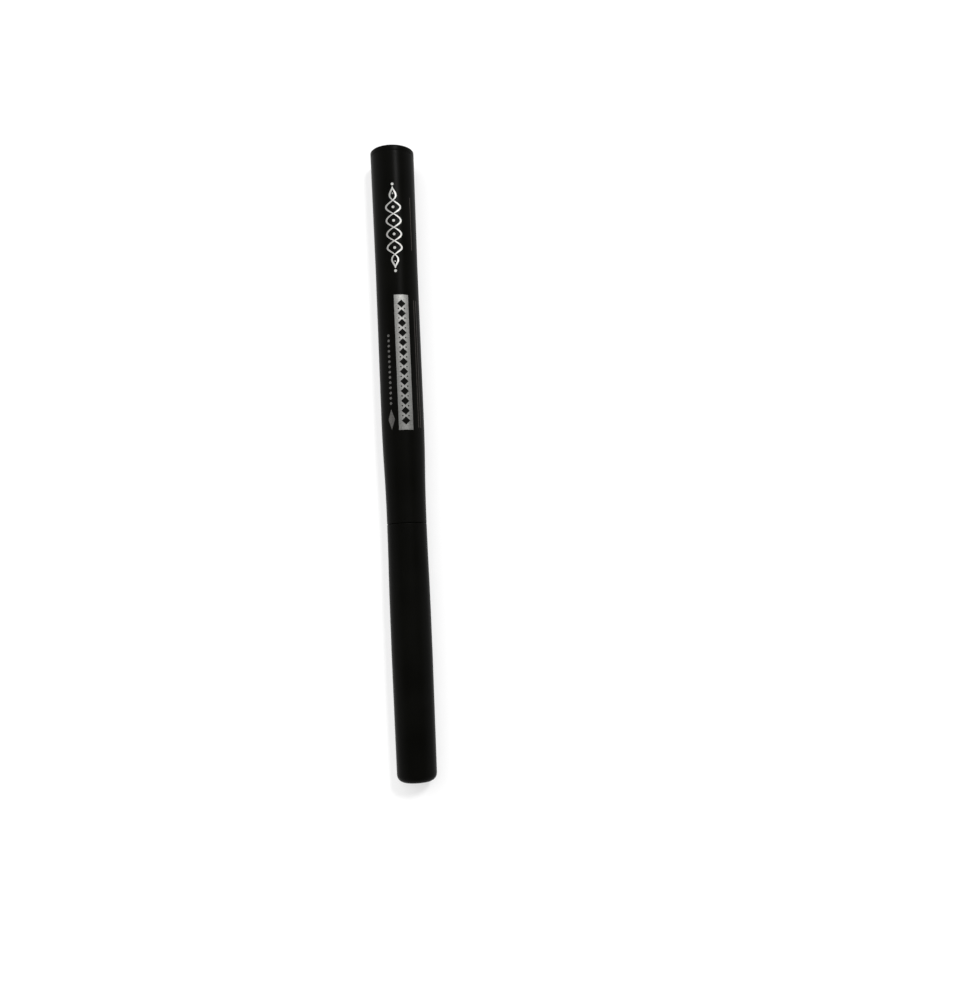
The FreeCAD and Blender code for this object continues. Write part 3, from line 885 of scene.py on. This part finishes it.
def make_dotted_line():
    """Worn row of dots beside the bar, ending in a lozenge."""
    arc = -2.6
    dots = 14
    dot = 0.3
    pitch = 1.15
    first = 25.9
    lozenge = 22.4
    lozenge_reach = 2.2
    lozenge_half_width = 0.8
    dotted = bmesh.new()
    add_lozenge(dotted, arc, lozenge, lozenge_reach, lozenge_half_width, THIN_PRINT_HEIGHT)
    for step in range(dots):
        add_dot(dotted, arc, first + step * pitch, dot, THIN_PRINT_HEIGHT)
    finish_print("dotted_line", dotted, "faint_print")


def make_hairlines():
    """Thin lines on the far side: two beside the bar and one beside the ornament."""
    half_width = 0.10
    hairlines = bmesh.new()
    for arc, start, end in ((3.7, 20.6, 48.8), (4.4, 20.6, 48.8), (3.8, 60.0, 72.0)):
        add_rule(hairlines, arc, start, end, half_width, THIN_PRINT_HEIGHT)
    finish_print("hairlines", hairlines, "ghost_print")


# Stage

def make_floor_material():
    """Pale matt paint, lifted to white where the camera or a reflection sees it unshaded."""
    paint = 0.40
    lift_strength = 0.585
    material = bpy.data.materials.new("pale_floor")
    material.use_nodes = True
    nodes = material.node_tree.nodes
    links = material.node_tree.links
    nodes.remove(nodes["Principled BSDF"])
    diffuse = nodes.new("ShaderNodeBsdfDiffuse")
    diffuse.inputs["Color"].default_value = (*grey(paint), 1)
    lift = nodes.new("ShaderNodeEmission")
    path = nodes.new("ShaderNodeLightPath")
    seen = nodes.new("ShaderNodeMath")
    seen.operation = "ADD"
    shown = nodes.new("ShaderNodeMath")
    shown.operation = "ADD"
    shown.use_clamp = True
    scale = nodes.new("ShaderNodeMath")
    scale.operation = "MULTIPLY"
    scale.inputs[1].default_value = lift_strength
    both = nodes.new("ShaderNodeAddShader")
    links.new(path.outputs["Is Camera Ray"], seen.inputs[0])
    links.new(path.outputs["Is Glossy Ray"], seen.inputs[1])
    links.new(seen.outputs["Value"], shown.inputs[0])
    links.new(path.outputs["Is Transmission Ray"], shown.inputs[1])
    links.new(shown.outputs["Value"], scale.inputs[0])
    links.new(scale.outputs["Value"], lift.inputs["Strength"])
    links.new(diffuse.outputs["BSDF"], both.inputs[0])
    links.new(lift.outputs["Emission"], both.inputs[1])
    links.new(both.outputs["Shader"], nodes["Material Output"].inputs["Surface"])
    return material


def make_floor():
    """Round floor that keeps the pen's shadow."""
    radius = 6.0
    mesh = bmesh.new()
    bmesh.ops.create_circle(mesh, cap_ends=True, segments=96, radius=radius)
    data = bpy.data.meshes.new("floor")
    mesh.to_mesh(data)
    mesh.free()
    data.materials.append(make_floor_material())
    floor = bpy.data.objects.new("floor", data)
    bpy.context.scene.collection.objects.link(floor)


def make_world():
    """A white studio wall round the horizon under a dark ceiling."""
    world = bpy.data.worlds.new("studio")
    bpy.context.scene.world = world
    world.use_nodes = True
    nodes = world.node_tree.nodes
    links = world.node_tree.links
    place = nodes.new("ShaderNodeTexCoord")
    split = nodes.new("ShaderNodeSeparateXYZ")
    ramp = nodes.new("ShaderNodeValToRGB")
    wall, ceiling = ramp.color_ramp.elements
    wall.position = 0.30
    wall.color = (*grey(1), 1)
    ceiling.position = 0.62
    ceiling.color = (*grey(0.03), 1)
    links.new(place.outputs["Generated"], split.inputs["Vector"])
    links.new(split.outputs["Z"], ramp.inputs["Fac"])
    links.new(ramp.outputs["Color"], nodes["Background"].inputs["Color"])


def add_lamp(name, towards, energy, spread):
    """A far round lamp of a given width in degrees, in the direction towards it."""
    light = bpy.data.lights.new(name, "SUN")
    light.energy = energy
    light.angle = math.radians(spread)
    lamp = bpy.data.objects.new(name, light)
    lamp.rotation_euler = Vector(towards).to_track_quat("Z", "Y").to_euler()
    bpy.context.scene.collection.objects.link(lamp)
    return lamp


def make_lights():
    """A broad soft key, and a smaller lamp beyond the tail that draws a stripe along its top."""
    key = add_lamp("key", (-0.30, 0.45, 0.84), energy=2.1, spread=50)
    key.visible_glossy = False
    add_lamp("stripe", (0.244, 0.48, 0.843), energy=1.75, spread=10)


def make_camera():
    """Camera of the photograph: above the pen, near its cap side. Places are in millimetres."""
    aside = -5.45
    station = -14.19
    height = 218.9
    place = Vector((aside, SEAM_Y + station, height)) * MM
    lean = Matrix.Rotation(math.radians(-5.49), 3, "Y")
    tilt = Matrix.Rotation(math.radians(5.17), 3, "X")
    turn = Matrix.Rotation(math.radians(-2.69), 3, "Z")
    camera = bpy.data.cameras.new("camera")
    camera.lens = 35.21
    camera.sensor_width = 36
    camera.clip_start = 0.005
    viewer = bpy.data.objects.new("camera", camera)
    viewer.matrix_world = Matrix.Translation(place) @ (turn @ (lean @ tilt)).to_4x4()
    bpy.context.scene.collection.objects.link(viewer)
    bpy.context.scene.camera = viewer


FINISHES = {**make_plastics(), **make_metals_and_fibres(), **make_foils()}

# Pieces of the pen
dress(make_barrel(), "barrel", "barrel", "barrel_black")
dress(make_tail_plug(), "barrel", "tail_plug", "plug_black")
dress(make_front_section(), "barrel", "front_section", "nose_black")
dress(make_brush_collar(), "barrel", "brush_collar", "collar_white")
dress(make_brush(), "barrel", "brush_tip", "brush_fibre")
dress(make_neck_ring(), "neck_ring", "neck_ring", "seal_rubber")
dress(make_cap(), "cap", "cap_shell", "cap_black")
spring = make_spring()
dress(spring, "cap", "cap_spring", "spring_steel")
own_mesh(spring)
make_silver_bar()
make_tail_ornament()
make_dotted_line()
make_hairlines()

# Finishes of all CAD nodes
for subpart in frame["record"]["subparts"]:
    data = NODES[subpart["node"]].data
    data.materials.clear()
    data.materials.append(FINISHES[subpart["material_slot"]])

make_floor()
make_world()
make_lights()
make_camera()
bpy.context.scene.view_settings.view_transform = "Standard"
